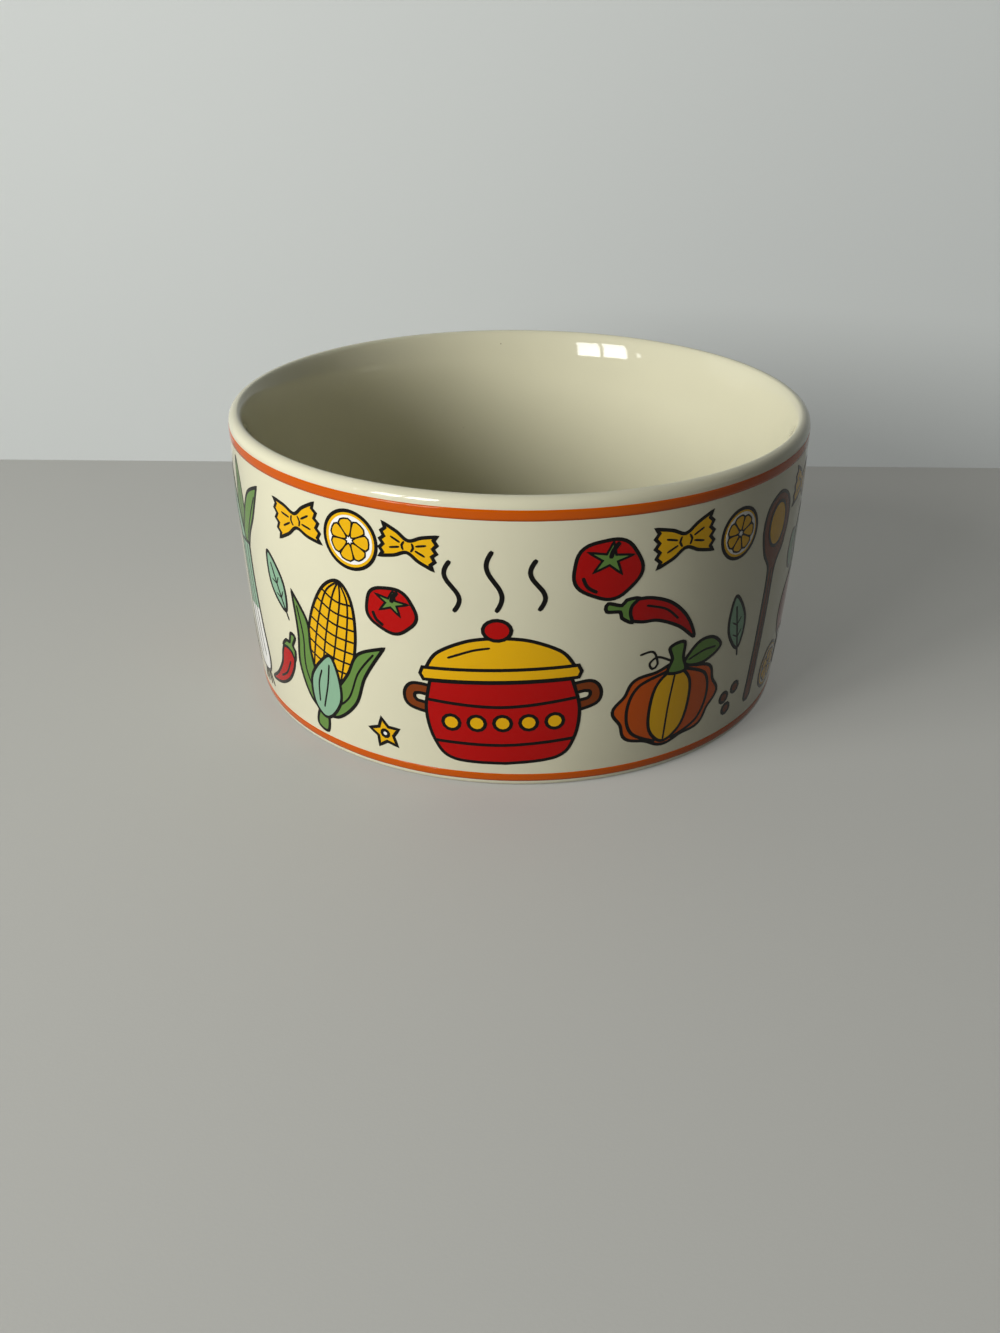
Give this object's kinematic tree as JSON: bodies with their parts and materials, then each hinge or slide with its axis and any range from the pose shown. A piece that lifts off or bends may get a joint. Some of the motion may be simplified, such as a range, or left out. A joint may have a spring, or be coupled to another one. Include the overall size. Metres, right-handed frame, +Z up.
{
  "type": "soup mug",
  "caption": "Wide, low glazed stoneware soup mug with a softly eased lip, a wall drawn in a little to a bare foot ring, a round ring handle and orange bands.",
  "frame": {"origin": "centre of the foot ring, on the plane that the mug stands on", "axes": "+Z up along the bowl's axis; +Y from the axis towards the handle; +X to the right of the picture, whose camera looks along +Y"},
  "size_m": [0.125, 0.1597, 0.062],
  "materials": {
    "glaze": "glossy cream glaze over pale stoneware",
    "orange_transfer": "orange ceramic transfer under a glossy glaze",
    "outline_transfer": "black ceramic transfer line under a glossy glaze",
    "yellow_transfer": "golden yellow ceramic transfer under a glossy glaze",
    "red_transfer": "red ceramic transfer under a glossy glaze",
    "brown_transfer": "reddish brown ceramic transfer under a glossy glaze",
    "green_transfer": "green ceramic transfer under a glossy glaze",
    "mint_transfer": "pale green ceramic transfer under a glossy glaze",
    "white_transfer": "white ceramic transfer under a glossy glaze",
    "bare_clay": "matt unglazed stoneware on the foot ring's land"
  },
  "bodies": {
    "root": {"mug_body": "glaze", "handle": "glaze", "upper_joint": "glaze", "lower_joint": "glaze", "upper_band": "orange_transfer", "lower_band": "orange_transfer"}
  },
  "joints": []
}
